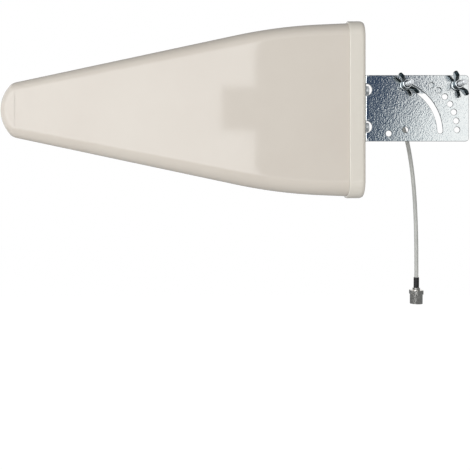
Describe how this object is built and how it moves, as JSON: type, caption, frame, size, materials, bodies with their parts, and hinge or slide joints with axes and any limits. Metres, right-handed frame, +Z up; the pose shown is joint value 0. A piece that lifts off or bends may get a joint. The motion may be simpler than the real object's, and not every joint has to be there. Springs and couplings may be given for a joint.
{
  "type": "directional cellular antenna",
  "caption": "Flat tapered log-periodic antenna with a bent-steel bracket, a wing-nut U-bolt clamp and a short coax lead with a threaded connector.",
  "frame": {"origin": "centre of the round tube that the clamp grips, at the height of the U-bolt", "axes": "+X from the nose towards the bracket, +Y away from the wing nuts, +Z up along the clamped tube"},
  "size_m": [0.5625, 0.1039, 0.3497],
  "materials": {
    "housing_plastic": "moulded light beige weatherproof plastic, satin",
    "cap_plastic": "moulded light grey-beige plastic, satin",
    "gasket_rubber": "black rubber",
    "zinc_steel": "bright zinc plate, faint spangle",
    "zinc_bolt": "bright zinc plate",
    "wing_nut_metal": "polished zinc casting",
    "stainless": "plain stainless steel",
    "aluminium": "drawn aluminium",
    "brass": "plain brass",
    "nickel": "bright nickel plate",
    "inner_plastic": "black moulded plastic",
    "gland_plastic": "light grey moulded plastic",
    "coax_jacket": "light grey cable jacket, satin",
    "white_insulator": "white fluoropolymer",
    "sleeve_rubber": "black shrink sleeve"
  },
  "bodies": {
    "antenna": {"radome_shell": "housing_plastic", "back_cap": "cap_plastic", "cap_gasket": "gasket_rubber", "cap_screws": "stainless", "bolt_inserts": "brass", "boom_left": "aluminium", "boom_right": "aluminium", "dipole_01": "aluminium", "dipole_02": "aluminium", "dipole_03": "aluminium", "dipole_04": "aluminium", "dipole_05": "aluminium", "dipole_06": "aluminium", "dipole_07": "aluminium", "dipole_08": "aluminium", "dipole_09": "aluminium", "dipole_10": "aluminium", "dipole_11": "aluminium", "dipole_12": "aluminium", "boom_spacer_front": "inner_plastic", "boom_spacer_mid": "inner_plastic", "boom_mount_block": "inner_plastic", "block_screws": "stainless", "rear_short_strap": "brass", "strap_screws": "stainless", "feed_cable": "coax_jacket", "feed_link": "brass", "cable_gland": "gland_plastic", "coax_pigtail": "coax_jacket", "connector_sleeve": "sleeve_rubber", "connector_body": "nickel", "connector_insulator": "white_insulator", "connector_contact": "brass", "bracket_plate": "zinc_steel", "bracket_bolts": "zinc_bolt", "mast_jaw": "zinc_steel", "plain_washers": "zinc_bolt", "spring_washers": "zinc_bolt"},
    "clamp_bolt": {"u_bolt": "zinc_bolt"},
    "left_nut": {"wing_nut_left": "wing_nut_metal"},
    "right_nut": {"wing_nut_right": "wing_nut_metal"}
  },
  "joints": [
    {"name": "left_nut_turn", "type": "hinge", "parent": "antenna", "child": "left_nut", "pos_m": [-0.0305, -0.035, 0], "axis": [0, 1, 0], "range_deg": [-4680, 2880]},
    {"name": "right_nut_turn", "type": "hinge", "parent": "antenna", "child": "right_nut", "pos_m": [0.0305, -0.035, 0], "axis": [0, 1, 0], "range_deg": [-4680, 2880]},
    {"name": "clamp_slide", "type": "slide", "parent": "antenna", "child": "clamp_bolt", "axis": [0, 1, 0], "range_m": [-0.008, 0.013]}
  ],
  "couplings": [
    {"joint": "right_nut_turn", "follows": "left_nut_turn", "ratio": 1},
    {"joint": "clamp_slide", "follows": "left_nut_turn", "m_per_rad": -0.00015915}
  ]
}
